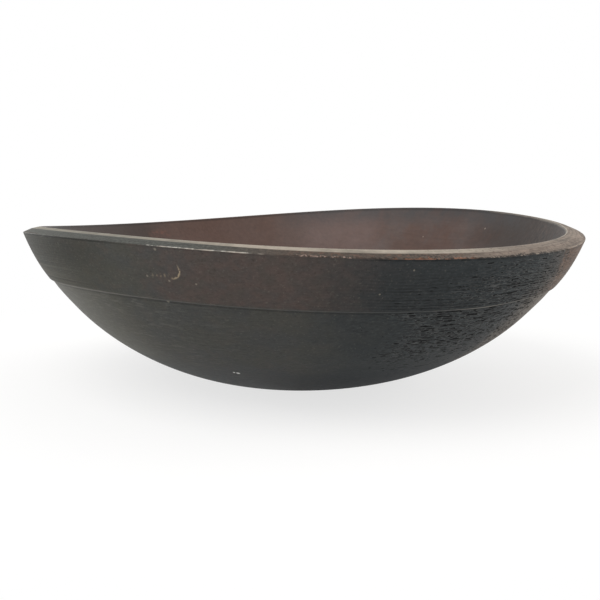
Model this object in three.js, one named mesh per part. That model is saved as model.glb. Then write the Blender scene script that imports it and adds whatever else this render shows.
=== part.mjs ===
// A turned wooden bowl: one piece of hardwood, hollowed, with a raised collar below a bevelled rim.
// Millimetres, +Z up. The flat of the foot is at z = 0 and +X runs along the grain.
// The bowl was turned round and has since shrunk across the grain, so its rim is oval and saddle-shaped.

import * as THREE from 'three';

// Rim, measured on the bowl as it left the lathe
const RIM_RADIUS = 210;
const RIM_HEIGHT = 118;
const RIM_CROWN_WIDTH = 6.6;
const RIM_CROWN_DROP = 1.4;
const RIM_BEVEL_WIDTH = 6.6;
const RIM_BEVEL_DROP = 2.9;

// Raised collar that the outside keeps below the rim
const COLLAR_HEIGHT = 34.8;
const COLLAR_DRAW_IN = 20.6;
const COLLAR_SWELL = 2.2;
const COLLAR_STEP = 1.6;

// Body between the collar and the flat foot. Angles are from level, and a fullness ratio of the span
// sets how long the curve holds each angle.
const FOOT_RADIUS = 50;
const BODY_FOOT_ANGLE_DEG = 7.5;
const BODY_COLLAR_ANGLE_DEG = 57.5;
const BODY_FOOT_FULLNESS_RATIO = 0.4;
const BODY_COLLAR_FULLNESS_RATIO = 0.28;

// Hollow
const FLOOR_THICKNESS = 18;
const HOLLOW_RIM_ANGLE_DEG = 64;
const HOLLOW_FLOOR_FULLNESS_RATIO = 0.42;
const HOLLOW_RIM_FULLNESS_RATIO = 0.34;

// Warp of the seasoned wood, as it shows at the rim
const OVAL_GROWTH = 6.4;
const SADDLE_DROP = 6.3;
const END_LEAN = 2.9;
const END_WAVE = 0.6;

// Smoothness of the solid
const SEGMENT_COUNT = 72;
const COLLAR_STEP_COUNT = 5;
const BODY_STEP_COUNT = 12;
const HOLLOW_STEP_COUNT = 14;

// Places on the half section, as (radius, height)
const innerArris = new THREE.Vector2(RIM_RADIUS - RIM_CROWN_WIDTH - RIM_BEVEL_WIDTH, RIM_HEIGHT);
const crownEdge = new THREE.Vector2(RIM_RADIUS - RIM_BEVEL_WIDTH, RIM_HEIGHT - RIM_CROWN_DROP);
const outerArris = new THREE.Vector2(RIM_RADIUS, crownEdge.y - RIM_BEVEL_DROP);
const collarFoot = new THREE.Vector2(RIM_RADIUS - COLLAR_DRAW_IN, outerArris.y - COLLAR_HEIGHT);
const bodyTop = new THREE.Vector2(collarFoot.x - COLLAR_STEP, collarFoot.y);
const footEdge = new THREE.Vector2(FOOT_RADIUS, 0);
const footCentre = new THREE.Vector2(0, 0);
const floorCentre = new THREE.Vector2(0, FLOOR_THICKNESS);

// A smooth curve that leaves start and reaches end at the slopes given
function sweep(start, startSlope, startFullness, end, endSlope, endFullness) {
  const span = start.distanceTo(end);
  const out = slopeVector(startSlope).multiplyScalar(startFullness * span).add(start);
  const back = slopeVector(endSlope).multiplyScalar(-endFullness * span).add(end);
  return new THREE.CubicBezierCurve(start, out, back, end);
}

function slopeVector(degrees) {
  const angle = THREE.MathUtils.degToRad(degrees);
  return new THREE.Vector2(Math.cos(angle), Math.sin(angle));
}

// The collar's face, which swells out a little between its two arrises
function collarCurve() {
  const middle = collarFoot.clone().lerp(outerArris, 0.5);
  const along = outerArris.clone().sub(collarFoot).normalize();
  const outward = new THREE.Vector2(along.y, -along.x);
  return new THREE.QuadraticBezierCurve(collarFoot, middle.addScaledVector(outward, 2 * COLLAR_SWELL), outerArris);
}

// The half section, from the foot's centre up the outside, over the rim and down to the floor of the hollow
function halfSection() {
  const body = sweep(
    footEdge, BODY_FOOT_ANGLE_DEG, BODY_FOOT_FULLNESS_RATIO,
    bodyTop, BODY_COLLAR_ANGLE_DEG, BODY_COLLAR_FULLNESS_RATIO,
  );
  const hollow = sweep(
    floorCentre, 0, HOLLOW_FLOOR_FULLNESS_RATIO,
    innerArris, HOLLOW_RIM_ANGLE_DEG, HOLLOW_RIM_FULLNESS_RATIO,
  );
  return [
    footCentre,
    ...body.getPoints(BODY_STEP_COUNT),
    ...collarCurve().getPoints(COLLAR_STEP_COUNT),
    crownEdge,
    ...hollow.getPoints(HOLLOW_STEP_COUNT).reverse(),
  ];
}

// How much of the rim's warp a point takes: none on the foot, all of it at the rim
function warpShare(radius) {
  const reach = Math.max(0, radius - FOOT_RADIUS) / (RIM_RADIUS - FOOT_RADIUS);
  return reach * reach;
}

// Shrinkage across the grain: the ends spread and sink, the sides draw in and rise
function warp(position) {
  const radius = Math.hypot(position.x, position.y);
  const angle = Math.atan2(position.y, position.x);
  const share = warpShare(radius);
  const spread = radius + share * OVAL_GROWTH * Math.cos(2 * angle);
  const saddle = -SADDLE_DROP * Math.cos(2 * angle);
  const ends = END_LEAN * Math.cos(angle) + END_WAVE * Math.cos(3 * angle);
  return position.set(
    spread * Math.cos(angle),
    spread * Math.sin(angle),
    position.z + share * (saddle + ends),
  );
}

function bowlGeometry() {
  const turned = new THREE.LatheGeometry(halfSection(), SEGMENT_COUNT);
  turned.rotateX(Math.PI / 2);
  const places = turned.getAttribute('position');
  const place = new THREE.Vector3();
  for (let i = 0; i < places.count; i += 1) {
    place.fromBufferAttribute(places, i);
    warp(place);
    places.setXYZ(i, place.x, place.y, place.z);
  }
  turned.computeVertexNormals();
  return turned;
}

const darkenedWood = new THREE.MeshStandardMaterial({ color: 0x4a403b, roughness: 0.6, metalness: 0 });

const bowl = new THREE.Mesh(bowlGeometry(), darkenedWood);
bowl.name = 'bowl';

const part = new THREE.Group();
part.add(bowl);

export default part;
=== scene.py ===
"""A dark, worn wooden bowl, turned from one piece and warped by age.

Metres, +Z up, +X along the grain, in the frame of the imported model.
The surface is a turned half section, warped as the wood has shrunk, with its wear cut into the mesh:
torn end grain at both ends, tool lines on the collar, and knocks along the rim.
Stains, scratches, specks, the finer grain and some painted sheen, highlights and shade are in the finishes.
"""

import math
from typing import NamedTuple

import bpy
import numpy as np
from mathutils import Matrix, Vector


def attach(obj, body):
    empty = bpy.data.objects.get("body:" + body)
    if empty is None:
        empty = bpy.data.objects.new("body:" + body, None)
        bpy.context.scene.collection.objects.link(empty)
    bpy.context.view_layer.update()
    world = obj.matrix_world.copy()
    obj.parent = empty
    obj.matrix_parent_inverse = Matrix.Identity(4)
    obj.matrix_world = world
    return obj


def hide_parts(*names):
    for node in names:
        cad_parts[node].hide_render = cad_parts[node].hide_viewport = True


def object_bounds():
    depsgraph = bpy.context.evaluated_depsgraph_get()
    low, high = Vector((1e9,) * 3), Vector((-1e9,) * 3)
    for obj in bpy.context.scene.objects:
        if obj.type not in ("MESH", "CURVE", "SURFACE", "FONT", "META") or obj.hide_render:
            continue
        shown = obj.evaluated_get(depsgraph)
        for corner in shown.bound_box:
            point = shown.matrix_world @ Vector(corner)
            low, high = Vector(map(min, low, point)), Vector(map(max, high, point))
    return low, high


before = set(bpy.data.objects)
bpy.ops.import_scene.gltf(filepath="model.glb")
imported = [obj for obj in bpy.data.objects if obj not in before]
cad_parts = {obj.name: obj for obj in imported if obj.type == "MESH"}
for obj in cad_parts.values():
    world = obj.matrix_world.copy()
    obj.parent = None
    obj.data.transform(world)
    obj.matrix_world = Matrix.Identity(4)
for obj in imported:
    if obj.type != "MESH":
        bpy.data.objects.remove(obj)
cad_low, cad_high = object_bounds()

# Rim, before the wood moved
RIM_RADIUS = (cad_high.x + cad_high.y) / 2
OVAL_GROWTH = (cad_high.x - cad_high.y) / 2
RIM_HEIGHT = 0.118
CROWN_WIDTH = 0.0066
CROWN_DROP = 0.0014
BEVEL_WIDTH = 0.0066
BEVEL_DROP = 0.0029

# Collar below the rim
COLLAR_HEIGHT = 0.0348
COLLAR_DRAW_IN = 0.0206
COLLAR_SWELL = 0.0016
COLLAR_STEP = 0.0016

# Body and foot, with angles from level
FOOT_RADIUS = 0.050
BODY_FOOT_ANGLE = math.radians(7.5)
BODY_COLLAR_ANGLE = math.radians(57.5)
BODY_FOOT_FULLNESS = 0.40
BODY_COLLAR_FULLNESS = 0.28

# Hollow
FLOOR_THICKNESS = 0.018
HOLLOW_RIM_ANGLE = math.radians(64)
HOLLOW_FLOOR_FULLNESS = 0.42
HOLLOW_RIM_FULLNESS = 0.34

# Warp at the rim
SADDLE_DROP = 0.0063
END_LEAN = 0.0029
END_WAVE = 0.0006

# The step stands a little wide of the turned line, and more so and higher on one side of the bowl
STEP_SPREAD = 0.0012
STEP_FADE = 0.024
STEP_SIDE_SPREAD = 0.0009
STEP_SIDE_RISE = 0.0014
STEP_SIDE_FADE = 0.050
STEP_SIDE_AT = 32
STEP_SIDE_FULL = 26
STEP_SIDE_REACH = 40

# Worn arrises
ARRIS_SOFTNESS = 0.00045
STEP_SOFTNESS = 0.0007
STEP_SOFT_NEAR = 0.004
STEP_SOFT_FAR = 0.008


class Dashes(NamedTuple):
    """Torn dashes in rows, one row to each turn of the tool. A lower level leaves more of them."""
    pitch: float
    length: float
    half_height: float
    depth: float
    dense_level: float


class EndStretch(NamedTuple):
    """A stretch round each end of the grain: where it starts, is full, fades and stops, in degrees."""
    start: float
    full: float
    fades: float
    stop: float


# Torn end grain, at both ends of the bowl
COLLAR_TEAR = EndStretch(-36, -3, 9, 32)
COLLAR_GOUGED = EndStretch(-14, -2, 8, 30)
BODY_TEAR = EndStretch(-33, -21, 8, 34)
TEAR_RAGGEDNESS = math.radians(10)
COLLAR_PITCH = 0.00235
COLLAR_PITS = Dashes(COLLAR_PITCH, 0.0034, 0.00052, 0.00044, 0.53)
COLLAR_GOUGES = Dashes(COLLAR_PITCH, 0.0046, 0.00056, 0.00034, 0.55)
COLLAR_FLECKS = Dashes(0.0013, 0.0026, 0.00040, 0.00026, 0.64)
BODY_DASHES = Dashes(0.0021, 0.0052, 0.00068, 0.00052, 0.54)
BODY_PITS = Dashes(0.0014, 0.0024, 0.00042, 0.00028, 0.55)
SOUND_LEVEL = 0.99
UNTORN = -0.5
DASH_TAPER = 0.40
DASH_LIP = -0.03
DASH_FLOOR = 0.22
ROW_WANDER = 0.6
CRUMBLE_DEPTH = 0.00012

# Where the tears come and go along the section: from and to, past a corner of it
COLLAR_TEAR_COMES = (0.0005, 0.002)
COLLAR_TEAR_THINS = (-0.020, -0.008)
COLLAR_TEAR_THINNED = 0.30
COLLAR_TEAR_GOES = (-0.003, -0.001)
BODY_TEAR_COMES = (-0.105, -0.060)
BODY_TEAR_THIN = 0.45
BODY_TEAR_THICKENS = (-0.062, -0.036)
BODY_TEAR_GOES = (-0.0012, 0.0)

# Tool lines on the collar, which run on past the torn grain and fade below the rim
COLLAR_GROOVES = EndStretch(-42, -18, 14, 44)
GROOVE_DEPTH = 0.00016
GROOVE_FAINTEST = 0.25
GROOVE_BROKEN = 0.4
GROOVE_VARIES = 0.9
GROOVES_FADE = (-0.024, -0.010)
GROOVES_FADED = 0.6

# Height and width of the patches in which the wear varies
WANDER_PATCH = (0.016, 0.030)
RAGGED_PATCH = (0.020, 0.030)
BROKEN_PATCH = (0.005, 0.014)
CRUMBLE_PATCH = (0.0008, 0.0014)


class Knocks(NamedTuple):
    """A stretch of the rim, from and to in degrees, with how many knocks it has and how large they are."""
    start: float
    stop: float
    count: int
    size: float


# Knocks along the rim's outer arris
RIM_KNOCKS = (
    Knocks(-270, 90, 110, 0.8),
    Knocks(-70, -38, 22, 0.6),
    Knocks(-41, -33, 9, 0.6),
    Knocks(-31, -17, 11, 1.0),
    Knocks(-15, 14, 12, 1.3),
    Knocks(150, 200, 20, 1.2),
)
KNOCK_RARITY = 1.5
KNOCK_STRAY = 0.0005
KNOCK_HALF_LENGTH = 0.0012
KNOCK_LENGTHENS = 0.0022
KNOCK_HALF_HEIGHT = 0.0008
KNOCK_HEIGHTENS = 0.0007
KNOCK_DEPTH = 0.0006
KNOCK_SHALLOWEST = 0.3
WEAR_SEED = 71

# Pale specks: angle in degrees, distance along the section past a corner of it, and radius
COLLAR_SPECKS = (
    (-29.0, -0.0250, 0.0008),
    (-24.0, -0.0074, 0.0008),
    (-71.0, -0.0217, 0.0011),
    (-66.4, -0.0238, 0.0010),
    (-61.0, -0.0244, 0.0009),
    (-67.7, -0.0022, 0.0012),
)
BODY_SPECKS = ((-68.8, -0.0004, 0.0014),)
BRIGHT_SPECKS = ((-62.4, -0.0781, 0.0011), (-61.2, -0.0789, 0.0017))
HOLLOW_SPECKS = ((99.0, 0.0287, 0.0008), (78.2, 0.0165, 0.0010))

# Curved scratch on the collar, and the ticks beside it
SCRATCH_ANGLE = -64.7
SCRATCH_DROP = 0.0152
SCRATCH_ASIDE = 0.0032
SCRATCH_RADIUS = 0.0074
SCRATCH_HALF_WIDTH = 0.0011
TICK_SPACING = 0.00305
TICK_HEIGHT = -0.0044
TICK_HALF_LENGTH = 0.0021

# Knife marks on the floor of the hollow: the ways they run in degrees, and marks to the metre
KNIFE_ANGLES = (17, 62, 98, 149)
KNIFE_ALONG = 10
KNIFE_ACROSS = 620

# Mesh
SECTION_STEP = 0.00005
COLUMN_SAMPLES = 20001
FINE_COLUMN = 0.0009
PLAIN_COLUMN = 0.0024
FINE_AROUND = EndStretch(-40, -35, 34, 40)
SEAM_ANGLE = math.radians(90)

# Spacing of the mesh's rows, at places past each corner of the section
FOOT_CENTRE_ROWS = ((0.0, 0.0090),)
FOOT_ROWS = ((-0.004, 0.0060), (0.004, 0.0025), (0.045, 0.0020), (0.075, 0.00060))
STEP_ROWS = ((-0.055, 0.00038),)
RIM_ROWS = ((-0.003, 0.00038), (-0.0012, 0.00030), (0.0012, 0.00030))
CROWN_ROWS = ((0.0, 0.00070),)
INNER_ROWS = ((-0.0015, 0.00035), (0.0015, 0.00035), (0.006, 0.0016), (0.060, 0.0026), (0.090, 0.0060))
FLOOR_CENTRE_ROWS = ((0.0, 0.0075),)

# Flat map of the surface, with a band each for outside, rim and hollow
BAKE_MAP = "OFBake"
OUTSIDE_BAND = (0.0, 0.55)
RIM_BAND = (0.57, 0.68)
HOLLOW_BAND = (0.70, 1.0)

# Photograph's view
VIEW_AZIMUTH = math.radians(47.49)
VIEW_ELEVATION = math.radians(8.07)
VIEW_DISTANCE = 0.840
VIEW_AIM_HEIGHT = 0.0596
LENS = 64.87
SENSOR = 36.0


class Lamp(NamedTuple):
    """A soft square lamp, placed to the right of, above and behind the bowl as the photograph sees it."""
    name: str
    across: float
    above: float
    behind: float
    size: float
    watts: float
    tint: tuple


# Light
LAMPS = (
    Lamp("key", -0.9, 1.7, -0.9, 1.6, 21.0, (1.0, 0.98, 0.95)),
    Lamp("edge", 1.5, 0.5, 0.7, 0.9, 12.0, (1.0, 0.93, 0.86)),
    Lamp("side", -1.5, 0.12, 0.9, 0.5, 14.0, (1.0, 1.0, 0.96)),
)
WHITE = (1.0, 1.0, 1.0, 1.0)
WORLD_LEVEL = 0.62

# Floor
FLOOR_GLOW = 0.72
FLOOR_SHADE = 0.30
FLOOR_BOUNCE = 0.75
FLOOR_GLOSS = 0.45
FLOOR_FADE_START = 0.22
FLOOR_FADE_STOP = 0.45
FLOOR_HALF = 8.0
FLOOR_GAP = 0.0002


def ease(value, low, high):
    """0 below low, 1 above high, smooth between. Low may lie above high."""
    share = np.clip((value - low) / (high - low), 0.0, 1.0)
    return share * share * (3.0 - 2.0 * share)


def ease_past(corner, along, fade):
    """The same along the section, with both ends of the fade measured past a corner of it."""
    return ease(along, corner + fade[0], corner + fade[1])


# Half section of the bowl, as (radius, height)

inner_arris = np.array([RIM_RADIUS - CROWN_WIDTH - BEVEL_WIDTH, RIM_HEIGHT])
crown_edge = np.array([RIM_RADIUS - BEVEL_WIDTH, RIM_HEIGHT - CROWN_DROP])
outer_arris = np.array([RIM_RADIUS, RIM_HEIGHT - CROWN_DROP - BEVEL_DROP])
collar_foot = outer_arris - np.array([COLLAR_DRAW_IN, COLLAR_HEIGHT])
body_top = collar_foot - np.array([COLLAR_STEP, 0.0])
foot_edge = np.array([FOOT_RADIUS, 0.0])
foot_centre = np.array([0.0, 0.0])
floor_centre = np.array([0.0, FLOOR_THICKNESS])


def line(start, end, count=60):
    share = np.linspace(0.0, 1.0, count)[:, None]
    return start + share * (end - start)


def sweep(start, start_angle, start_fullness, end, end_angle, end_fullness, count=600):
    """A cubic curve that leaves start and reaches end at the given angles."""
    span = np.linalg.norm(end - start)
    leave = start + start_fullness * span * np.array([math.cos(start_angle), math.sin(start_angle)])
    reach = end - end_fullness * span * np.array([math.cos(end_angle), math.sin(end_angle)])
    t = np.linspace(0.0, 1.0, count)[:, None]
    return (1 - t) ** 3 * start + 3 * t * (1 - t) ** 2 * leave + 3 * t * t * (1 - t) * reach + t ** 3 * end


def collar_face(count=200):
    """The collar, swelling out a little between its two arrises."""
    t = np.linspace(0.0, 1.0, count)[:, None]
    rise = (outer_arris - collar_foot) / np.linalg.norm(outer_arris - collar_foot)
    outward = np.array([rise[1], -rise[0]])
    return collar_foot + t * (outer_arris - collar_foot) + 4 * t * (1 - t) * COLLAR_SWELL * outward


def softened(points, softness):
    """The section with its arrises rounded. Points past the axis mirror those before it."""
    reach = int(4 * softness / SECTION_STEP)
    offsets = np.arange(-reach, reach + 1) * SECTION_STEP
    weights = np.exp(-0.5 * (offsets / softness) ** 2)
    weights /= weights.sum()
    mirror = np.array([-1.0, 1.0])
    padded = np.vstack([points[reach:0:-1] * mirror, points, points[-2:-reach - 2:-1] * mirror])
    return np.stack([np.convolve(padded[:, axis], weights, "valid") for axis in (0, 1)], axis=1)


def read_off(at, places, points):
    """Points along a fine polyline, at the given places on it."""
    return np.stack([np.interp(at, places, points[:, axis]) for axis in (0, 1)], axis=1)


class Section:
    """The half section from the foot's centre, up the outside, over the rim and down to the floor."""

    def __init__(self):
        body = sweep(
            foot_edge, BODY_FOOT_ANGLE, BODY_FOOT_FULLNESS,
            body_top, BODY_COLLAR_ANGLE, BODY_COLLAR_FULLNESS,
        )
        hollow = sweep(
            floor_centre, 0.0, HOLLOW_FLOOR_FULLNESS,
            inner_arris, HOLLOW_RIM_ANGLE, HOLLOW_RIM_FULLNESS,
        )
        stretches = [
            line(foot_centre, foot_edge),
            body,
            line(body_top, collar_foot),
            collar_face(),
            line(outer_arris, crown_edge),
            line(crown_edge, inner_arris),
            hollow[::-1],
        ]
        lengths = [np.linalg.norm(np.diff(stretch, axis=0), axis=1).sum() for stretch in stretches]
        corners = np.cumsum(lengths)
        self.foot, self.step, self.collar, self.outer, self.crown, self.inner, self.end = corners
        sharp = np.vstack([stretches[0]] + [stretch[1:] for stretch in stretches[1:]])
        travelled = np.concatenate([[0.0], np.cumsum(np.linalg.norm(np.diff(sharp, axis=0), axis=1))])
        self.fine_along = np.linspace(0.0, self.end, int(self.end / SECTION_STEP))
        even = read_off(self.fine_along, travelled, sharp)
        off_step = np.abs(self.fine_along - self.collar)
        at_step = 1.0 - ease(off_step, STEP_SOFT_NEAR, STEP_SOFT_FAR)[:, None]
        worn = softened(even, ARRIS_SOFTNESS)
        self.fine_points = worn + at_step * (softened(even, STEP_SOFTNESS) - worn)

    def row_spacing(self, along):
        """How far apart the rows of the mesh lie: close on the rim, collar and torn grain."""
        corners = (
            (0.0, FOOT_CENTRE_ROWS),
            (self.foot, FOOT_ROWS),
            (self.step, STEP_ROWS),
            (self.outer, RIM_ROWS),
            (self.crown, CROWN_ROWS),
            (self.inner, INNER_ROWS),
            (self.end, FLOOR_CENTRE_ROWS),
        )
        places = [corner + past for corner, rows in corners for past, _ in rows]
        spacings = [spacing for _, rows in corners for _, spacing in rows]
        return np.interp(along, places, spacings)

    def stations(self):
        """(distance along, points, outward normals) of the rows of the mesh."""
        rows = np.cumsum(SECTION_STEP / self.row_spacing(self.fine_along))
        rows -= rows[0]
        along = np.interp(np.linspace(0.0, rows[-1], int(rows[-1]) + 1), rows, self.fine_along)
        points = read_off(along, self.fine_along, self.fine_points)
        points[[0, -1], 0] = 0.0
        tangent = read_off(along, self.fine_along, np.gradient(self.fine_points, self.fine_along, axis=0))
        tangent /= np.linalg.norm(tangent, axis=1, keepdims=True)
        normals = np.stack([tangent[:, 1], -tangent[:, 0]], axis=1)
        return along, points, normals

    def step_move(self, along, angle):
        """How far a point has moved outward and up with the step."""
        above = ease(along, self.outer, self.collar)
        all_round = above * ease(along, self.step - STEP_FADE, self.step)
        one_side = above * ease(along, self.step - STEP_SIDE_FADE, self.step)
        off = (np.degrees(angle) - STEP_SIDE_AT + 180) % 360 - 180
        side = one_side * ease(np.abs(off), STEP_SIDE_REACH, STEP_SIDE_FULL)
        return STEP_SPREAD * all_round + STEP_SIDE_SPREAD * side, STEP_SIDE_RISE * side

    def place(self, degrees, along):
        """A point on the warped surface, without its wear."""
        angle = math.radians(degrees)
        radius, height = read_off(np.array([along]), self.fine_along, self.fine_points)[0]
        spread, rise = self.step_move(along, angle)
        return warped(radius + spread, height + rise, angle)


def off_end(angles):
    """Signed degrees from the nearer end of the grain."""
    return np.degrees((angles + math.pi / 2) % math.pi - math.pi / 2)


def around_ends(angles, stretch):
    """1 where a stretch round the ends of the grain is full, and 0 outside it."""
    off = off_end(angles)
    return ease(off, stretch.start, stretch.full) * (1.0 - ease(off, stretch.fades, stretch.stop))


def column_angles():
    """Angles of the columns of the mesh, closer together over the end grain."""
    fine = np.linspace(SEAM_ANGLE - 2 * math.pi, SEAM_ANGLE, COLUMN_SAMPLES)
    spacing = PLAIN_COLUMN + (FINE_COLUMN - PLAIN_COLUMN) * around_ends(fine, FINE_AROUND)
    columns = np.concatenate([[0.0], np.cumsum(np.diff(fine) * RIM_RADIUS / spacing[1:])])
    count = int(columns[-1])
    return np.interp(np.arange(count) * columns[-1] / count, columns, fine)


def warped(radius, height, angle):
    """Where a turned point lies now: the ends have spread and sunk, the sides drawn in and risen."""
    share = np.clip((radius - FOOT_RADIUS) / (RIM_RADIUS - FOOT_RADIUS), 0.0, None) ** 2
    spread = radius + share * OVAL_GROWTH * np.cos(2 * angle)
    saddle = -SADDLE_DROP * np.cos(2 * angle)
    ends = END_LEAN * np.cos(angle) + END_WAVE * np.cos(3 * angle)
    return spread * np.cos(angle), spread * np.sin(angle), height + share * (saddle + ends)


class Wear:
    """What age and use have cut into the surface: a depth and some masks over the rows and columns."""

    def __init__(self, section, along, radii, angles):
        self.section = section
        self.along = along
        self.radii = radii
        self.angles = angles
        self.turn = (angles - angles[0]) / (2 * math.pi)
        self.random = np.random.default_rng(WEAR_SEED)
        self.depth = np.zeros((len(along), len(angles)))
        self.torn = np.full_like(self.depth, UNTORN)
        self.rough = np.zeros_like(self.depth)
        self.groove = np.zeros_like(self.depth)
        self.knock = np.zeros_like(self.depth)

    def patches(self, tall, wide):
        """Smooth random values from 0 to 1, in patches of about this height and width."""
        rows = self.along / tall
        count = round(2 * math.pi * RIM_RADIUS / wide)
        columns = self.turn * count
        values = self.random.uniform(0.0, 1.0, (int(rows[-1]) + 2, count))
        left = columns.astype(int)
        low = rows.astype(int)
        right = (left + 1) % count
        strip = values[:, left] + (values[:, right] - values[:, left]) * ease(columns - left, 0, 1)
        return strip[low] + (strip[low + 1] - strip[low]) * ease(rows - low, 0, 1)[:, None]

    def turns(self, pitch):
        """Which turn of the tool each point lies on, counted along the section. They wander a little."""
        return self.along[:, None] / pitch + ROW_WANDER * self.patches(*WANDER_PATCH)

    def tear(self, dashes, place, zone):
        """Cuts a row of dashes at each turn of the tool, denser where the zone nears 1."""
        row = place.astype(int)
        off = (place - row - 0.5) * dashes.pitch / dashes.half_height
        count = round(2 * math.pi * RIM_RADIUS / dashes.length)
        values = self.random.uniform(0.0, 1.0, (row.max() + 1, count))
        shifts = self.random.uniform(0.0, 1.0, row.max() + 1)
        column = self.turn[None, :] * count + shifts[row]
        left = column.astype(int)
        start = values[row, left % count]
        value = start + (values[row, (left + 1) % count] - start) * ease(column - left, 0, 1)
        level = SOUND_LEVEL + (dashes.dense_level - SOUND_LEVEL) * zone
        inside = value - level - DASH_TAPER * off ** 2
        self.torn = np.maximum(self.torn, inside)
        self.depth = np.maximum(self.depth, dashes.depth * ease(inside, DASH_LIP, DASH_FLOOR))

    def scribe(self, place, zone):
        """Cuts a groove at each turn of the tool, some fainter than others."""
        row = place.astype(int)
        strength = self.random.uniform(GROOVE_FAINTEST, 1.0, row.max() + 1)
        broken = GROOVE_BROKEN + GROOVE_VARIES * self.patches(*BROKEN_PATCH)
        self.groove = zone * strength[row] * broken * (0.5 - 0.5 * np.cos(2 * math.pi * place))
        self.depth += GROOVE_DEPTH * self.groove

    def tear_end_grain(self):
        """Dashes and pits where the tool tore the end grain, at both ends of the bowl."""
        section, along = self.section, self.along
        angles = self.angles[None, :] + TEAR_RAGGEDNESS * (self.patches(*RAGGED_PATCH) - 0.5)
        on_collar = ease_past(section.collar, along, COLLAR_TEAR_COMES)
        on_collar *= 1.0 - COLLAR_TEAR_THINNED * ease_past(section.outer, along, COLLAR_TEAR_THINS)
        on_collar *= 1.0 - ease_past(section.outer, along, COLLAR_TEAR_GOES)
        on_body = BODY_TEAR_THIN * ease_past(section.step, along, BODY_TEAR_COMES)
        on_body += (1.0 - BODY_TEAR_THIN) * ease_past(section.step, along, BODY_TEAR_THICKENS)
        on_body *= 1.0 - ease_past(section.step, along, BODY_TEAR_GOES)
        collar_zone = around_ends(angles, COLLAR_TEAR) * on_collar[:, None]
        body_zone = around_ends(angles, BODY_TEAR) * on_body[:, None]
        self.rough = np.maximum(collar_zone, body_zone)
        collar_turns = self.turns(COLLAR_PITCH)
        self.tear(COLLAR_PITS, collar_turns, collar_zone)
        self.tear(COLLAR_GOUGES, collar_turns, around_ends(angles, COLLAR_GOUGED) * on_collar[:, None])
        self.tear(COLLAR_FLECKS, self.turns(COLLAR_FLECKS.pitch), collar_zone)
        for dashes in (BODY_DASHES, BODY_PITS):
            self.tear(dashes, self.turns(dashes.pitch), body_zone)
        scribed = on_collar * (1.0 - GROOVES_FADED * ease_past(section.outer, along, GROOVES_FADE))
        self.scribe(collar_turns, around_ends(angles, COLLAR_GROOVES) * scribed[:, None])
        self.depth += CRUMBLE_DEPTH * self.rough * self.patches(*CRUMBLE_PATCH)

    def dent(self, at_along, at_angle, half_length, half_height, depth):
        """Presses one lens-shaped knock into the surface."""
        first, last = np.searchsorted(self.along, [at_along - half_height, at_along + half_height])
        radius = self.radii[first]
        turn = half_length / radius
        left, right = np.searchsorted(self.angles, [at_angle - turn, at_angle + turn])
        across = (self.angles[left:right] - at_angle)[None, :] * radius
        up = (self.along[first:last] - at_along)[:, None]
        near = np.clip(1.0 - (across / half_length) ** 2 - (up / half_height) ** 2, 0.0, 1.0)
        patch = (slice(first, last), slice(left, right))
        self.depth[patch] = np.maximum(self.depth[patch], depth * near)
        self.knock[patch] = np.maximum(self.knock[patch], near ** 0.5)

    def knock_rim(self):
        """Knocks along the rim's outer arris."""
        for knocks in RIM_KNOCKS:
            for _ in range(knocks.count):
                degrees = self.random.uniform(knocks.start, knocks.stop)
                at_angle = (math.radians(degrees) - SEAM_ANGLE) % (2 * math.pi) + SEAM_ANGLE - 2 * math.pi
                strength = self.random.uniform(0.0, 1.0) ** KNOCK_RARITY
                self.dent(
                    self.section.outer + self.random.uniform(-KNOCK_STRAY, KNOCK_STRAY),
                    at_angle,
                    knocks.size * (KNOCK_HALF_LENGTH + KNOCK_LENGTHENS * strength),
                    knocks.size * (KNOCK_HALF_HEIGHT + KNOCK_HEIGHTENS * strength),
                    knocks.size * KNOCK_DEPTH * (KNOCK_SHALLOWEST + (1 - KNOCK_SHALLOWEST) * strength),
                )


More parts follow.
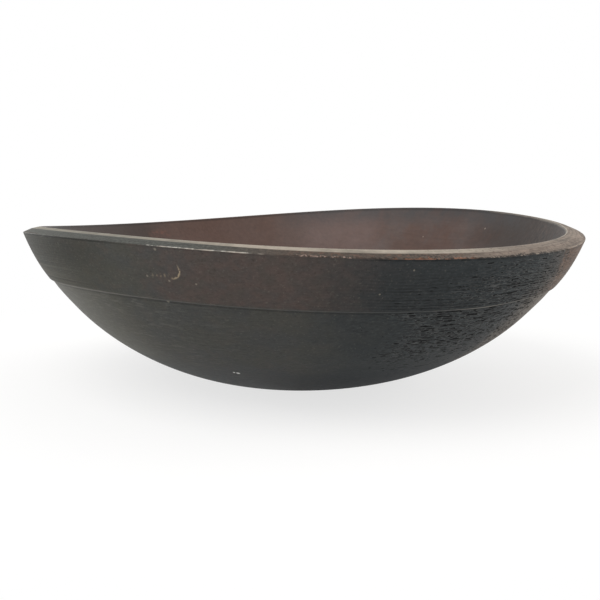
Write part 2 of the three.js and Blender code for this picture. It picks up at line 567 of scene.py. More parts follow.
class Grid:
    """The bowl's mesh: rows along the section, columns around it, and one point at each end."""

    def __init__(self):
        self.section = Section()
        self.along, points, normals = self.section.stations()
        self.angles = column_angles()
        self.wear = Wear(self.section, self.along, points[:, 0], self.angles)
        self.wear.tear_end_grain()
        self.wear.knock_rim()
        spread, rise = self.section.step_move(self.along[:, None], self.angles[None, :])
        radius = points[:, :1] - self.wear.depth * normals[:, :1] + spread
        height = points[:, 1:] - self.wear.depth * normals[:, 1:] + rise
        self.places = np.stack(warped(radius, height, self.angles[None, :]), axis=-1)
        self.rows, self.columns = self.wear.depth.shape
        row, column = np.meshgrid(np.arange(1, self.rows - 2), np.arange(self.columns), indexing="ij")
        self.row, self.column = row.ravel(), column.ravel()
        self.turn = np.arange(self.columns)

    def index(self, row, column):
        return 1 + (row - 1) * self.columns + column % self.columns

    def flat(self, values):
        """One value a vertex: the first end, the rows, the last end."""
        return np.concatenate([values[0, :1], values[1:-1].reshape(-1, *values.shape[2:]), values[-1, :1]])

    def faces(self):
        row, column, turn = self.row, self.column, self.turn
        corners = [(row, column), (row, column + 1), (row + 1, column + 1), (row + 1, column)]
        quads = np.stack([self.index(*corner) for corner in corners], axis=1)
        top = self.rows - 2
        first = np.zeros_like(turn)
        last = np.full_like(turn, self.index(top, self.columns - 1) + 1)
        foot = np.stack([first, self.index(1, turn + 1), self.index(1, turn)], axis=1)
        floor = np.stack([self.index(top, turn), self.index(top, turn + 1), last], axis=1)
        return foot.tolist() + quads.tolist() + floor.tolist()

    def face_along(self):
        """How far along the section the middle of each face lies."""
        quads = (self.along[self.row] + self.along[self.row + 1]) / 2
        return np.concatenate([np.zeros(self.columns), quads, np.full(self.columns, self.section.end)])

    def map_height(self, at, face_at):
        """Where a corner lies up the flat map, which has a band each for outside, rim and hollow."""
        section = self.section
        bands = (
            (0.0, section.outer, OUTSIDE_BAND),
            (section.outer, section.inner, RIM_BAND),
            (section.inner, section.end, HOLLOW_BAND),
        )
        height = np.zeros(len(at))
        for low, high, (start, stop) in bands:
            inside = (face_at >= low) & (face_at <= high)
            height = np.where(inside, start + (at - low) / (high - low) * (stop - start), height)
        return np.clip(height, 0.0, 1.0)

    def flat_map(self):
        """Two numbers for each corner of each face: the angle runs across the map, the section up it."""
        turn, column = self.turn, self.column
        face_at = self.face_along()
        foot_at, quad_at, floor_at = np.split(face_at, [self.columns, len(face_at) - self.columns])
        centre = self.map_height(foot_at, foot_at)
        ring = self.map_height(np.full_like(foot_at, self.along[1]), foot_at)
        foot = np.stack([turn + 0.5, centre, turn + 1, ring, turn, ring], axis=1)
        below = self.map_height(self.along[self.row], quad_at)
        above = self.map_height(self.along[self.row + 1], quad_at)
        quads = np.stack([column, below, column + 1, below, column + 1, above, column, above], axis=1)
        ring = self.map_height(np.full_like(floor_at, self.along[-2]), floor_at)
        centre = self.map_height(floor_at, floor_at)
        floor = np.stack([turn, ring, turn + 1, ring, turn + 0.5, centre], axis=1)
        spread = np.concatenate([foot.ravel(), quads.ravel(), floor.ravel()])
        spread[0::2] /= self.columns
        return spread

    def mesh(self):
        mesh = bpy.data.meshes.new("bowl_surface")
        mesh.from_pydata(self.flat(self.places).tolist(), [], self.faces())
        mesh.polygons.foreach_set("use_smooth", np.ones(len(mesh.polygons), bool))
        at = self.face_along()
        finish = (at > self.section.outer).astype(np.int32) + (at > self.section.inner)
        mesh.polygons.foreach_set("material_index", finish.astype(np.int32))
        along = np.repeat(self.along[:, None], self.columns, axis=1)
        wear = self.wear
        point_values = {
            "along": along,
            "torn": wear.torn,
            "rough": wear.rough,
            "groove": wear.groove,
            "knock": wear.knock,
        }
        for name, values in point_values.items():
            kept = mesh.attributes.new(name, "FLOAT", "POINT")
            kept.data.foreach_set("value", self.flat(values).astype(np.float32))
        layer = mesh.uv_layers.new(name=BAKE_MAP)
        layer.data.foreach_set("uv", self.flat_map().astype(np.float32))
        mesh.validate()
        return mesh


# Finishes

def colour(red, green, blue):
    """A colour as it looks on a screen, 0 to 255, as a linear colour for the shader."""
    def linear(value):
        value /= 255.0
        return value / 12.92 if value <= 0.04045 else ((value + 0.055) / 1.055) ** 2.4
    return (linear(red), linear(green), linear(blue), 1.0)


class Flow:
    """One output of a node. Arithmetic on flows adds Math nodes."""

    def __init__(self, nodes, socket):
        self.nodes = nodes
        self.socket = socket

    def math(self, operation, *values):
        return self.nodes.node("ShaderNodeMath", {"operation": operation}, dict(enumerate(values)))

    def __add__(self, other):
        return self.math("ADD", self, other)

    def __radd__(self, other):
        return self.math("ADD", other, self)

    def __sub__(self, other):
        return self.math("SUBTRACT", self, other)

    def __rsub__(self, other):
        return self.math("SUBTRACT", other, self)

    def __mul__(self, other):
        return self.math("MULTIPLY", self, other)

    def __rmul__(self, other):
        return self.math("MULTIPLY", other, self)

    def __truediv__(self, other):
        return self.math("DIVIDE", self, other)

    def root(self):
        return self.math("SQRT", self)

    def fraction(self):
        return self.math("FRACT", self)

    def larger(self, other):
        return self.math("MAXIMUM", self, other)

    def rises(self, low, high):
        """0 below low, 1 above high, smooth between. Low may lie above high."""
        settings = {"interpolation_type": "SMOOTHSTEP"}
        sockets = {"Value": self, "From Min": low, "From Max": high}
        return self.nodes.node("ShaderNodeMapRange", settings, sockets)

    def near(self, place, reach):
        """1 at place, falling to 0 at reach on both sides."""
        return self.math("ABSOLUTE", self - place).rises(reach, 0.0)


class Nodes:
    """A node tree that is added to one node at a time."""

    def __init__(self, tree):
        self.tree = tree
        tree.nodes.clear()

    def node(self, kind, settings, sockets, output=0):
        made = self.tree.nodes.new(kind)
        for key, value in settings.items():
            setattr(made, key, value)
        for key, value in sockets.items():
            if isinstance(value, Flow):
                self.tree.links.new(value.socket, made.inputs[key])
            else:
                made.inputs[key].default_value = value
        return Flow(self, made.outputs[output]) if len(made.outputs) else None

    def vector(self, operation, first, second=None, output=0):
        sockets = {0: first} if second is None else {0: first, 1: second}
        return self.node("ShaderNodeVectorMath", {"operation": operation}, sockets, output)

    def shader_mix(self, share, first, second):
        return self.node("ShaderNodeMixShader", {}, {0: share, 1: first, 2: second})

    def seen_directly(self):
        """1 for what the camera sees itself, in a gloss or through glass, and 0 for light that spreads."""
        path = "ShaderNodeLightPath"
        seen = self.node(path, {}, {}, "Is Camera Ray").larger(self.node(path, {}, {}, "Is Glossy Ray"))
        return seen.larger(self.node(path, {}, {}, "Is Transmission Ray"))


class Finish(Nodes):
    """A wood finish that varies over the bowl, with its tint laid on layer by layer."""

    def __init__(self, name, section):
        self.material = bpy.data.materials.new(name)
        self.material.use_nodes = True
        super().__init__(self.material.node_tree)
        self.section = section
        self.position = self.node("ShaderNodeTexCoord", {}, {}, "Object")
        self.along = self.attribute("along")
        self.outward = self.vector("NORMALIZE", self.vector("MULTIPLY", self.position, (1.0, 1.0, 0.0)))
        self.drift = self.cloud(40, 40, 40, 4.0) + 0.6 * self.cloud(260, 260, 360) - 0.8

    def attribute(self, name):
        return self.node("ShaderNodeAttribute", {"attribute_name": name}, {}, "Fac")

    def noise(self, vector, detail=3.0, roughness=0.55):
        sockets = {"Vector": vector, "Scale": 1.0, "Detail": detail, "Roughness": roughness}
        return self.node("ShaderNodeTexNoise", {}, sockets)

    def cloud(self, x, y, z, detail=3.0):
        """Cloudy noise, mostly 0.3 to 0.7, with so many features to the metre along each axis."""
        return self.noise(self.vector("MULTIPLY", self.position, (x, y, z)), detail)

    def streak(self, around, across, detail=3.0):
        """Noise drawn out around the bowl, with so many features to the metre around and across it."""
        level = self.vector("MULTIPLY", self.position, (around, around, 0.0))
        up = self.node("ShaderNodeCombineXYZ", {}, {"Z": self.along * across})
        return self.noise(self.vector("ADD", level, up), detail)

    def facing(self, degrees, inner, outer, ragged=0.0):
        """1 on the side of the bowl that lies this way round, fading from inner to outer degrees off it."""
        turn = math.radians(degrees)
        toward = (math.cos(turn), math.sin(turn), 0.0)
        lean = self.vector("DOT_PRODUCT", self.outward, toward, "Value")
        if ragged:
            lean = lean + ragged * self.drift
        return lean.rises(math.cos(math.radians(outer)), math.cos(math.radians(inner)))

    def both_ends(self, degrees, inner, outer, ragged=0.0):
        """The same at both ends of the grain."""
        one_end = self.facing(degrees, inner, outer, ragged)
        return one_end.larger(self.facing(degrees + 180, inner, outer, ragged))

    def specks(self, corner, marks):
        """Small round marks, each at an angle and so far along the section past a corner of it."""
        masks = []
        for degrees, past, radius in marks:
            place = self.section.place(degrees, corner + past)
            distance = self.vector("DISTANCE", self.position, place, "Value")
            masks.append(distance.rises(radius, 0.5 * radius))
        total = masks[0]
        for mask in masks[1:]:
            total = total.larger(mask)
        return total

    def mix(self, share, first, second):
        """From the first colour to the second."""
        return self.node("ShaderNodeMix", {"data_type": "RGBA"}, {0: share, 6: first, 7: second}, 2)

    def tone(self, tint, level):
        """The colour made darker or lighter by a level around 1."""
        settings = {"data_type": "RGBA", "blend_type": "MULTIPLY"}
        return self.node("ShaderNodeMix", settings, {0: 1.0, 6: tint, 7: level}, 2)

    def cover(self, share, tint):
        """Lays a colour over the tint so far."""
        self.tint = self.mix(share, self.tint, tint)

    def shade(self, level):
        """Makes the tint so far darker or lighter."""
        self.tint = self.tone(self.tint, level)

    def finished(self, roughness, height):
        """Closes the material: what varies goes to colour, roughness and bump."""
        bump = {"Height": height, "Distance": self.relief, "Strength": 1.0}
        sockets = {
            "Base Color": self.tint,
            "Roughness": roughness,
            "Normal": self.node("ShaderNodeBump", {}, bump),
            "Specular IOR Level": self.shine,
        }
        surface = self.node("ShaderNodeBsdfPrincipled", {}, sockets)
        self.node("ShaderNodeOutputMaterial", {}, {"Surface": surface})
        return self.material


class OutsideFinish(Finish):
    """Dark patina: mottled slate, olive and brown, blue-black over the end grain, tan where it is rubbed,
    with painted sheen, highlights and shade.
    """

    relief = 0.00025
    shine = 0.14
    slate = colour(69, 70, 69)
    olive = colour(71, 71, 67)
    brown = colour(77, 71, 67)
    russet = colour(81, 70, 66)
    end_black = colour(46, 51, 53)
    moss = colour(74, 72, 56)
    rubbed_tan_and_sheen = colour(98, 79, 67)
    thin_tan_and_sheen = colour(118, 102, 90)
    painted_sheen_tan = colour(118, 108, 97)
    dust_and_painted_light = colour(112, 111, 104)
    scuff_grey = colour(128, 126, 117)
    fleck_grey = colour(130, 126, 116)
    pale_lip_and_highlight = colour(114, 114, 113)
    pit_black = colour(14, 15, 16)
    pit_brown = colour(52, 43, 37)
    arris_wear_and_highlight = colour(136, 131, 122)
    low_slate = colour(67, 72, 77)
    scratch_tan = colour(172, 155, 130)
    speck_grey = colour(168, 160, 144)
    speck_white = colour(250, 250, 246)
    foot_brown = colour(104, 88, 74)

    def __init__(self, section):
        super().__init__("outside_wood", section)
        along = self.along
        self.torn = self.attribute("torn")
        self.rough = self.attribute("rough")
        self.groove = self.attribute("groove")
        self.stain = self.cloud(45, 45, 60, 4.0)
        self.blotch = self.cloud(130, 130, 170, 3.0)
        self.mottle = self.cloud(330, 330, 420, 3.0)
        self.crumble = self.streak(240, 1050, 2.0)
        self.grain = self.cloud(24, 640, 640, 3.0)
        self.lines = self.streak(5, 1600, 1.0)
        self.flecks = self.cloud(620, 620, 760, 2.0)
        self.scuffs = self.streak(90, 700)
        self.on_collar = along.rises(section.collar - 0.001, section.collar + 0.003)
        self.low_collar = along.rises(section.outer - 0.010, section.outer - 0.030)
        self.low_body = along.rises(section.step - 0.060, section.step - 0.085)
        self.high_body = along.rises(section.step - 0.070, section.step - 0.030)
        self.low_end = along.rises(section.step - 0.052, section.step - 0.088) * self.facing(-5, 25, 55)
        self.lined = self.facing(-108, 8, 22) * (0.3 + 0.7 * self.low_collar * self.on_collar)
        self.fainter_at_far_end = 1 - 0.5 * self.facing(-142, 50, 80)
        self.rubbed_and_sheen = self.rubbed_and_sheen_zone()
        self.pit = self.torn.rises(0.0, 0.06)

    def rubbed_and_sheen_zone(self):
        """Where hands have rubbed the patina off past the torn grain at each end, with a painted warm
        grazing sheen there too.
        """
        rubbed_and_sheen = self.on_collar * self.both_ends(38, 23, 28, 0.06)
        rubbed_and_sheen = rubbed_and_sheen.larger(0.6 * self.both_ends(46, 14, 36, 0.15))
        rubbed_and_sheen = rubbed_and_sheen * self.both_ends(20, 12, 52, 0.2) * (0.55 + 0.45 * self.blotch.rises(0.36, 0.58))
        rubbed_and_sheen = rubbed_and_sheen * self.along.rises(self.section.step - 0.115, self.section.step - 0.060)
        return rubbed_and_sheen * self.fainter_at_far_end

    def patina(self):
        """The mottled dark ground."""
        self.tint = self.mix(self.stain.rises(0.38, 0.62), self.slate, self.olive)
        self.cover(self.blotch.rises(0.48, 0.64) * (0.25 + 0.25 * self.on_collar), self.brown)
        ruddy = self.both_ends(-42, 8, 36, 0.2) * self.on_collar
        self.cover(ruddy * (0.65 + 0.35 * self.blotch.rises(0.34, 0.66)) * 0.9, self.russet)
        self.cover(self.both_ends(-12, 8, 33, 0.1) * 0.92, self.end_black)
        # Painted warm grazing sheen near each end of the collar, laid on with the rubbed tan.
        painted_grazing_sheen = self.on_collar * self.both_ends(30, 14, 26, 0.1)
        worn_tan_and_sheen = self.mix(self.low_collar * 0.7, self.rubbed_tan_and_sheen, self.thin_tan_and_sheen)
        self.cover(self.rubbed_and_sheen.larger((0.25 + 0.3 * self.low_collar) * painted_grazing_sheen), worn_tan_and_sheen)
        self.cover(self.facing(-112, 10, 44) * 0.4, self.moss)
        self.shade(0.40 + 0.20 * self.blotch + 0.44 * self.mottle + 0.24 * self.grain + 0.32 * self.crumble)
        # Darker at the collar's left end.
        darker_left_collar = self.facing(-108, 12, 32) * self.on_collar * (0.58 - 0.30 * self.low_collar)
        self.shade(1 + self.lined * (2.2 * self.lines - 1.05) - darker_left_collar)

    def dulled(self):
        """Pale dust, partly painted light on the body's left side, scuffs, a painted sheen next to the torn
        grain, and small flecks over the patina.
        """
        off_collar = 1 - self.on_collar
        upper = off_collar * self.low_body.rises(1.0, 0.2)
        # Pale dust on the body's left side, partly standing for painted light from the left.
        self.cover(self.facing(-114, 8, 36) * upper * 0.35, self.dust_and_painted_light)
        scuffed = self.scuffs.rises(0.52, 0.68) * self.facing(-100, 20, 52) * off_collar
        self.cover(scuffed * 0.22, self.scuff_grey)
        # Painted sheen on the body next to the torn grain at each end, stronger towards the step.
        painted_sheen = self.both_ends(22, 9, 18, 0.05) * upper * self.fainter_at_far_end
        self.cover(painted_sheen * (0.3 + 0.3 * self.high_body), self.painted_sheen_tan)
        self.cover(self.flecks.rises(0.60, 0.72) * 0.16, self.fleck_grey)
        self.shade(1 - 0.22 * self.flecks.rises(0.40, 0.30))

    def tears(self):
        """Dark pits with pale lips where the grain is torn, the lips partly a painted highlight, and dark
        tool lines.
        """
        lip_and_highlight = self.torn.rises(-0.22, -0.02) * self.rough.rises(0.35, 0.9)
        worked = self.rough * (3.2 * self.crumble - 1.64 + 0.12 * self.on_collar) - 0.75 * self.groove
        self.shade(0.97 + 0.09 * self.on_collar + worked)
        # Painted highlight: the lips of the pits lighter, as if catching the light.
        self.cover(lip_and_highlight * (0.40 + 0.12 * self.on_collar), self.pale_lip_and_highlight)
        pit_tint = self.mix(self.rubbed_and_sheen, self.pit_black, self.pit_brown)
        self.cover(self.pit * (0.92 - 0.35 * self.rubbed_and_sheen), pit_tint)

    def edges(self):
        """The pale line along the step's edge, partly wear and partly a painted highlight, and painted shade
        under the step, under the rim and low on the body, where it also turns slate.
        """
        section, along, blotch = self.section, self.along, self.blotch
        # Pale line along the step's edge: partly wear, partly a painted highlight, fainter on one side and
        # stronger towards the ends.
        arris = along.near(section.collar + 0.0003, 0.0010) * (1 - 0.75 * self.facing(-45, 18, 40))
        arris_pale_share = 0.3 + 0.3 * blotch.rises(0.3, 0.6) + 0.35 * self.both_ends(8, 16, 26)
        self.cover(arris * arris_pale_share, self.arris_wear_and_highlight)
        # Painted shade: darker just under the step, under the rim's outer arris and low on the body.
        under_step = along.near(section.step - 0.0010, 0.0014)
        painted_shade_end = 0.8 * self.both_ends(-10, 20, 24) * blotch.rises(0.34, 0.54)
        painted_shade_side = self.facing(-98, 8, 26).larger(painted_shade_end)
        under_rim = along.near(section.outer - 0.0008, 0.0011) * (0.2 + 0.8 * painted_shade_side)
        painted_low_shade = 0.06 * self.low_body + 0.08 * self.low_end
        self.cover(self.low_body * 0.35, self.low_slate)
        self.shade(1 - 0.34 * under_step - 0.70 * under_rim - painted_low_shade)

    def scratches(self):
        """A curved scratch on the collar, with a row of small ticks to its left."""
        turn = math.radians(SCRATCH_ANGLE)
        aside = (-math.sin(turn), math.cos(turn), 0.0)
        across = self.vector("DOT_PRODUCT", self.position, aside, "Value") + SCRATCH_ASIDE
        up = self.along - (self.section.outer - SCRATCH_DROP)
        distance = (across * across + up * up).root()
        wobble = self.cloud(700, 700, 700, 2.0)
        curve = (distance + 0.0016 * wobble).near(SCRATCH_RADIUS, SCRATCH_HALF_WIDTH)
        curve = curve * (across - 0.5 * up).rises(0.0015, 0.0050)
        curve = curve * (0.30 + 0.70 * up.rises(0.0030, -0.0010)) * wobble.rises(0.36, 0.54)
        ticks = (across / TICK_SPACING).fraction().near(0.4, 0.36)
        ticks = ticks * (up - 0.08 * across).near(TICK_HEIGHT, TICK_HALF_LENGTH)
        ticks = ticks * across.rises(-0.0150, -0.0135) * across.rises(0.0012, -0.0010)
        marks = curve.larger(0.45 * ticks * wobble.rises(0.36, 0.56))
        return marks * self.facing(SCRATCH_ANGLE, 8, 12)

    def marks(self):
        """Scratches, pale specks and the bare foot."""
        section = self.section
        self.cover(self.scratches() * 0.85, self.scratch_tan)
        specks = self.specks(section.outer, COLLAR_SPECKS).larger(self.specks(section.step, BODY_SPECKS))
        self.cover(specks * 0.35, self.speck_grey)
        self.cover(self.specks(section.step, BRIGHT_SPECKS), self.speck_white)
        self.cover(self.along.rises(section.foot + 0.006, section.foot - 0.004) * 0.6, self.foot_brown)

    def made(self):
        self.patina()
        self.dulled()
        self.tears()
        self.edges()
        self.marks()
        roughness = 0.38 + 0.12 * self.on_collar + 0.2 * self.mottle + 0.3 * self.pit + 0.12 * self.low_end
        height = 0.5 * self.mottle + 0.4 * self.grain + (0.1 + 0.5 * self.lined) * self.lines
        return self.finished(roughness, height + self.rough * self.crumble)


class RimFinish(Finish):
    """Bare wood at the rim: a rubbed pale crown and a stained bevel with knocks along its arris."""

    relief = 0.0003
    shine = 0.2
    slate = colour(74, 75, 71)
    brown = colour(76, 67, 60)
    tan = colour(118, 106, 96)
    red_brown = colour(122, 86, 70)
    crown_grey = colour(142, 134, 122)
    crown_pale = colour(164, 154, 141)
    crown_dull = colour(118, 116, 106)
    speck_brown = colour(70, 56, 48)
    stain_brown = colour(74, 63, 56)
    burnished_tan = colour(152, 139, 126)
    inner_arris_highlight = colour(186, 179, 167)
    old_bite = colour(40, 33, 29)
    fresh_bite = colour(138, 98, 76)
    deep_bite = colour(36, 31, 28)
    bead_black = colour(42, 37, 34)
    bead_pale = colour(156, 134, 124)
    white = colour(198, 195, 186)
    knock_black = colour(44, 37, 33)
    knock_red = colour(126, 90, 72)
    knock_pale = colour(190, 180, 168)

    def __init__(self, section):
        super().__init__("rim_wood", section)
        self.inward = self.along - section.outer
        self.knock = self.attribute("knock")
        self.stain = self.cloud(40, 40, 40, 3.0)
        self.fleck = self.cloud(620, 620, 620, 2.0)
        self.chip = self.cloud(330, 330, 330, 2.0)
        self.dash = self.cloud(150, 150, 150, 3.0)
        self.rings = self.streak(26, 620)
        self.hatch = self.streak(160, 420, 2.0)
        self.left = self.facing(-86, 22, 42)
        self.worn = self.tone(self.tan, 2.0 * self.rings + 1.1 * self.hatch + 0.9 * self.chip - 1.0)

    def bevel(self):
        """The stained outer flat of the rim."""
        self.tint = self.mix(self.left, self.brown, self.slate)
        calm = 1 - 0.6 * self.left.larger(self.facing(-42, 14, 22))
        self.shade(1 + calm * (1.2 * self.fleck.rises(0.35, 0.65) + 0.8 * self.dash - 1.0))
        red_flecks = self.chip.rises(0.50, 0.60) * self.both_ends(-24, 14, 24)
        self.cover(red_flecks * 0.25, self.red_brown)
        self.cover(self.both_ends(16, 18, 38), self.worn)

    def crown(self):
        """The rubbed inner flat of the rim, laid over the bevel."""
        pale = self.mix(self.stain.rises(0.35, 0.6), self.crown_grey, self.crown_pale)
        pale = self.mix(self.facing(-90, 14, 36) * 0.7, pale, self.crown_dull)
        pale = self.tone(pale, 0.20 + 0.6 * self.dash + 0.6 * self.rings + 0.4 * self.fleck)
        pale = self.mix(self.both_ends(24, 22, 40) * 0.85, pale, self.worn)
        flat = self.along - 0.0010 * self.left
        self.cover(flat.rises(self.section.crown - 0.0011, self.section.crown + 0.0001), pale)

    def edges(self):
        """Dark specks, what hands have done to the outer edge, and a painted highlight along the inner
        arris.
        """
        dark_specks = self.chip.rises(0.58, 0.66) * self.both_ends(12, 24, 40)
        self.cover(dark_specks * 0.6, self.speck_brown)
        self.cover(self.inward.near(0.0006, 0.0016) * self.both_ends(50, 22, 30) * 0.55, self.stain_brown)
        self.cover(self.inward.near(0.0004, 0.0012) * self.both_ends(8, 17, 22) * 0.6, self.burnished_tan)
        # Painted highlight: a pale line along the inner arris, stronger towards the right end.
        inner = self.along.near(self.section.inner, 0.0012) * (0.6 + 0.4 * self.facing(40, 25, 40))
        self.cover(inner, self.inner_arris_highlight)

    def bites(self):
        """Where the outer edge has crumbled: old bites, fresh ones, a beaded stretch and a few deep ones."""
        inward = self.inward
        bitten = (inward.rises(0.0068, 0.0) + 2.0 * (self.chip - 0.5)).rises(0.88, 0.98)
        fresh = self.streak(190, 40, 2.0).rises(0.42, 0.52) * self.both_ends(-20.7, 5, 8)
        bare = self.mix(fresh, self.old_bite, self.fresh_bite)
        self.cover(bitten * self.both_ends(-13, 17, 23) * 0.9, bare)
        beads = inward.rises(0.0030, 0.0012) * self.facing(-38.5, 3, 6) * 0.8
        bead_row = self.streak(520, 40, 1.0)
        beaded = self.mix(bead_row.rises(0.50, 0.56), self.bead_black, self.bead_pale)
        self.cover(beads * (bead_row.rises(0.55, 0.60) + bead_row.rises(0.48, 0.42)), beaded)
        ragged = self.cloud(300, 300, 300, 2.0).rises(0.50, 0.60)
        depth = 0.0008 + 0.0016 * self.both_ends(-1, 4, 8)
        deep = (depth * ragged - inward).rises(0.0, 0.0003) * self.both_ends(-4, 10, 14)
        self.cover(deep, self.deep_bite)

    def knocks(self):
        """White nicks along one stretch of the outer edge, and the knocks cut into the mesh."""
        white_nicks = self.inward.near(0.0003, 0.0012) * self.dash.rises(0.36, 0.48)
        white_nicks = white_nicks * (0.25 + 0.75 * self.chip.rises(0.40, 0.58))
        self.cover(white_nicks * self.facing(-59.5, 8.5, 11), self.white)
        knocked = self.mix(self.both_ends(-21, 5, 9), self.knock_black, self.knock_red)
        knocked = self.mix(self.facing(-60, 9, 15), knocked, self.knock_pale)
        self.cover(self.knock * 0.8, knocked)

    def made(self):
        self.bevel()
        self.crown()
        self.edges()
        self.bites()
        self.knocks()
        return self.finished(0.55 + 0.25 * self.fleck, 0.8 * self.fleck + self.rings + 0.6 * self.hatch)


class HollowFinish(Finish):
    """Smooth red-brown inside, polished by use: slate under the rim, and knife marks on the floor."""

    relief = 0.0002
    shine = 0.28
    red_brown = colour(86, 65, 57)
    grey_brown = colour(90, 75, 70)
    slate = colour(72, 72, 73)
    warm_brown = colour(92, 71, 63)
    smoke = colour(54, 47, 43)
    dark_stain = colour(43, 34, 29)
    far_stain = colour(52, 43, 39)
    rosy_painted_sheen = colour(106, 86, 81)
    blue_grey_and_sheen = colour(57, 58, 60)
    ember = colour(124, 80, 66)
    pale_lip_and_highlight = colour(124, 117, 108)
    speck_tan = colour(160, 146, 134)

    def __init__(self, section):
        super().__init__("hollow_wood", section)
        self.below = self.along - section.inner
        self.stain = self.cloud(28, 28, 28, 4.0)
        self.blotch = self.cloud(80, 80, 80, 3.0)
        self.mottle = self.cloud(270, 270, 270, 3.0)
        self.grain = self.cloud(16, 420, 420, 3.0)
        self.lines = self.streak(14, 420)
        self.hatch = self.streak(420, 60, 2.0)
        self.wall = self.below.rises(0.075, 0.030)
        self.cuts = self.knife_cuts()

    def knife_cuts(self):
        """Long thin cuts across the floor."""
        cuts = self.slashes(KNIFE_ANGLES[0])
        for degrees in KNIFE_ANGLES[1:]:
            cuts = cuts + self.slashes(degrees)
        return cuts * self.below.rises(0.050, 0.110)

    def slashes(self, degrees):
        """A few long thin lines that run this way across the bowl."""
        turn = math.radians(degrees)
        run = self.vector("DOT_PRODUCT", self.position, (math.cos(turn), math.sin(turn), 0.0), "Value")
        side = self.vector("DOT_PRODUCT", self.position, (-math.sin(turn), math.cos(turn), 0.0), "Value")
        sockets = {"X": run * KNIFE_ALONG, "Y": side * KNIFE_ACROSS, "Z": degrees / 10}
        place = self.node("ShaderNodeCombineXYZ", {}, sockets)
        return self.noise(place, 1.0).rises(0.69, 0.74)

    def stains(self):
        """Red-brown wood, with darker and greyer stains round the wall, and a painted rosy sheen on the far
        wall.
        """
        below, blotch, wall = self.below, self.blotch, self.wall
        self.tint = self.mix(self.stain.rises(0.38, 0.62), self.red_brown, self.grey_brown)
        self.cover(blotch.rises(0.46, 0.64) * wall * 0.22, self.slate)
        self.cover(self.facing(163, 8, 38, 0.1) * wall * 0.7, self.warm_brown)
        smoky = below.rises(0.070, 0.0) * self.facing(-70, 60, 120, 0.1)
        self.cover(smoky * (0.4 + 0.6 * blotch.rises(0.35, 0.62)) * 0.75, self.smoke)
        high_wall = below.rises(0.056, 0.024)
        self.cover(self.facing(49, 6, 43, 0.1) * high_wall * 0.95, self.dark_stain)
        self.cover(self.facing(-160, 14, 28, 0.05) * high_wall * 0.8, self.far_stain)
        # Painted sheen: a rosy grey band on the far wall.
        self.cover(self.facing(125, 4, 15) * wall * 0.7, self.rosy_painted_sheen)
        self.shade(0.46 + 0.34 * blotch + 0.40 * self.mottle + 0.34 * self.grain)
        self.shade(1 + self.facing(44, 8, 20) * wall * (3.4 * self.hatch - 1.66))

    def under_rim(self):
        """The blue-grey band under the rim, partly stain and partly a painted sheen, the reddened stretch,
        the worn lip with its painted highlight, and painted shade under the inner arris.
        """
        below, blotch = self.below, self.blotch
        # Blue-grey under the rim on the back wall: partly stain, partly a painted sheen.
        blued_and_sheen = below.rises(0.022, 0.002) * self.facing(102, 28, 44, 0.1)
        self.cover(blued_and_sheen * (0.6 + 0.4 * blotch.rises(0.35, 0.6)) * 0.75, self.blue_grey_and_sheen)
        embers = self.facing(178.2, 1.2, 4.0) * below.near(0.0124, 0.0065)
        self.cover(embers * (0.3 + 0.7 * self.mottle.rises(0.42, 0.60)) * 0.4, self.ember)
        # Pale worn lip under the rim at the right end, partly a painted highlight on the inner arris.
        lip_and_highlight = (below + 0.002 * (blotch - 0.5)).rises(0.0022, 0.0006) * self.facing(54, 16, 30)
        self.cover(lip_and_highlight * 0.7, self.pale_lip_and_highlight)
        # Painted shade: a dark line just under the inner arris.
        self.shade(1 - 0.45 * below.near(0.0016, 0.0018) * (1 - lip_and_highlight))

    def made(self):
        self.stains()
        self.under_rim()
        self.shade(1 - 0.35 * self.cuts)
        self.cover(self.specks(self.section.inner, HOLLOW_SPECKS) * 0.6, self.speck_tan)
        roughness = 0.38 + 0.2 * self.mottle
        height = 0.6 * self.mottle + 0.3 * self.grain + 0.4 * self.lines - 0.8 * self.cuts
        return self.finished(roughness, height)


def make_bowl():
    grid = Grid()
    mesh = grid.mesh()
    bowl = bpy.data.objects.new("turned_bowl", mesh)
    bpy.context.scene.collection.objects.link(bowl)
    for finish in (OutsideFinish, RimFinish, HollowFinish):
        mesh.materials.append(finish(grid.section).made())
    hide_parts("bowl")
    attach(bowl, "root")


# Floor, light and camera

def view_axes():
    """The photograph's right, up and back directions."""
    level, tall = math.cos(VIEW_ELEVATION), math.sin(VIEW_ELEVATION)
    right = Vector((math.cos(VIEW_AZIMUTH), math.sin(VIEW_AZIMUTH), 0.0))
    back = Vector((math.sin(VIEW_AZIMUTH) * level, -math.cos(VIEW_AZIMUTH) * level, tall))
    return right, back.cross(right), back


def make_camera():
    right, up, back = view_axes()
    data = bpy.data.cameras.new("photo_camera")
    data.lens = LENS
    data.sensor_width = SENSOR
    data.sensor_fit = "HORIZONTAL"
    camera = bpy.data.objects.new("photo_camera", data)
    bpy.context.scene.collection.objects.link(camera)
    turn = Matrix((right, up, back)).transposed().to_4x4()
    place = Vector((0.0, 0.0, VIEW_AIM_HEIGHT)) + back * VIEW_DISTANCE
    camera.matrix_world = Matrix.Translation(place) @ turn
    bpy.context.scene.camera = camera


def make_lamp(lamp):
    right, _, back = view_axes()
    away = Vector((-back.x, -back.y, 0.0)).normalized()
    data = bpy.data.lights.new(lamp.name, "AREA")
    data.size = lamp.size
    data.energy = lamp.watts
    data.color = lamp.tint
    made = bpy.data.objects.new(lamp.name, data)
    made.location = right * lamp.across + away * lamp.behind + Vector((0.0, 0.0, lamp.above))
    aim = Vector((0.0, 0.0, VIEW_AIM_HEIGHT)) - made.location
    made.rotation_euler = aim.to_track_quat("-Z", "Y").to_euler()
    bpy.context.scene.collection.objects.link(made)


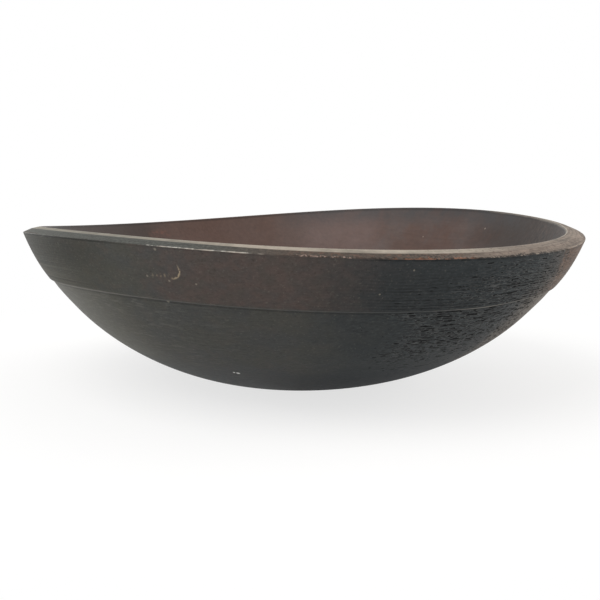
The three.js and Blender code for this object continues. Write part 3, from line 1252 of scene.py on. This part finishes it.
def make_world():
    """Even soft light all round, seen as plain white."""
    world = bpy.data.worlds.new("studio")
    bpy.context.scene.world = world
    world.use_nodes = True
    nodes = Nodes(world.node_tree)
    light = nodes.node("ShaderNodeBackground", {}, {"Color": WHITE, "Strength": WORLD_LEVEL})
    backdrop = nodes.node("ShaderNodeBackground", {}, {"Color": WHITE, "Strength": 1.0})
    surface = nodes.shader_mix(nodes.seen_directly(), light, backdrop)
    nodes.node("ShaderNodeOutputWorld", {}, {"Surface": surface})


def make_floor():
    """A pale floor that shows the bowl's shadow and fades to the white of the backdrop."""
    mesh = bpy.data.meshes.new("floor")
    corners = [(-1, -1), (1, -1), (1, 1), (-1, 1)]
    mesh.from_pydata([(x * FLOOR_HALF, y * FLOOR_HALF, -FLOOR_GAP) for x, y in corners], [], [(0, 1, 2, 3)])
    floor = bpy.data.objects.new("floor", mesh)
    bpy.context.scene.collection.objects.link(floor)
    material = bpy.data.materials.new("pale_floor")
    material.use_nodes = True
    nodes = Nodes(material.node_tree)
    bounce = nodes.node("ShaderNodeBsdfDiffuse", {}, {"Color": (FLOOR_BOUNCE,) * 3 + (1.0,)})
    shaded = nodes.node("ShaderNodeBsdfDiffuse", {}, {"Color": (FLOOR_SHADE,) * 3 + (1.0,)})
    glow = nodes.node("ShaderNodeEmission", {}, {"Strength": FLOOR_GLOW})
    lit = nodes.node("ShaderNodeAddShader", {}, {0: shaded, 1: glow})
    white = nodes.node("ShaderNodeEmission", {}, {"Strength": 1.0})
    place = nodes.node("ShaderNodeTexCoord", {}, {}, "Object")
    fade = nodes.vector("LENGTH", place, None, "Value").rises(FLOOR_FADE_START, FLOOR_FADE_STOP)
    gloss = nodes.node("ShaderNodeLightPath", {}, {}, "Is Glossy Ray")
    seen = nodes.shader_mix(fade, nodes.shader_mix(gloss * FLOOR_GLOSS, lit, bounce), white)
    surface = nodes.shader_mix(nodes.seen_directly(), bounce, seen)
    nodes.node("ShaderNodeOutputMaterial", {}, {"Surface": surface})
    mesh.materials.append(material)


make_camera()
make_bowl()
make_floor()
make_world()
for lamp in LAMPS:
    make_lamp(lamp)
bpy.context.scene.view_settings.view_transform = "Standard"
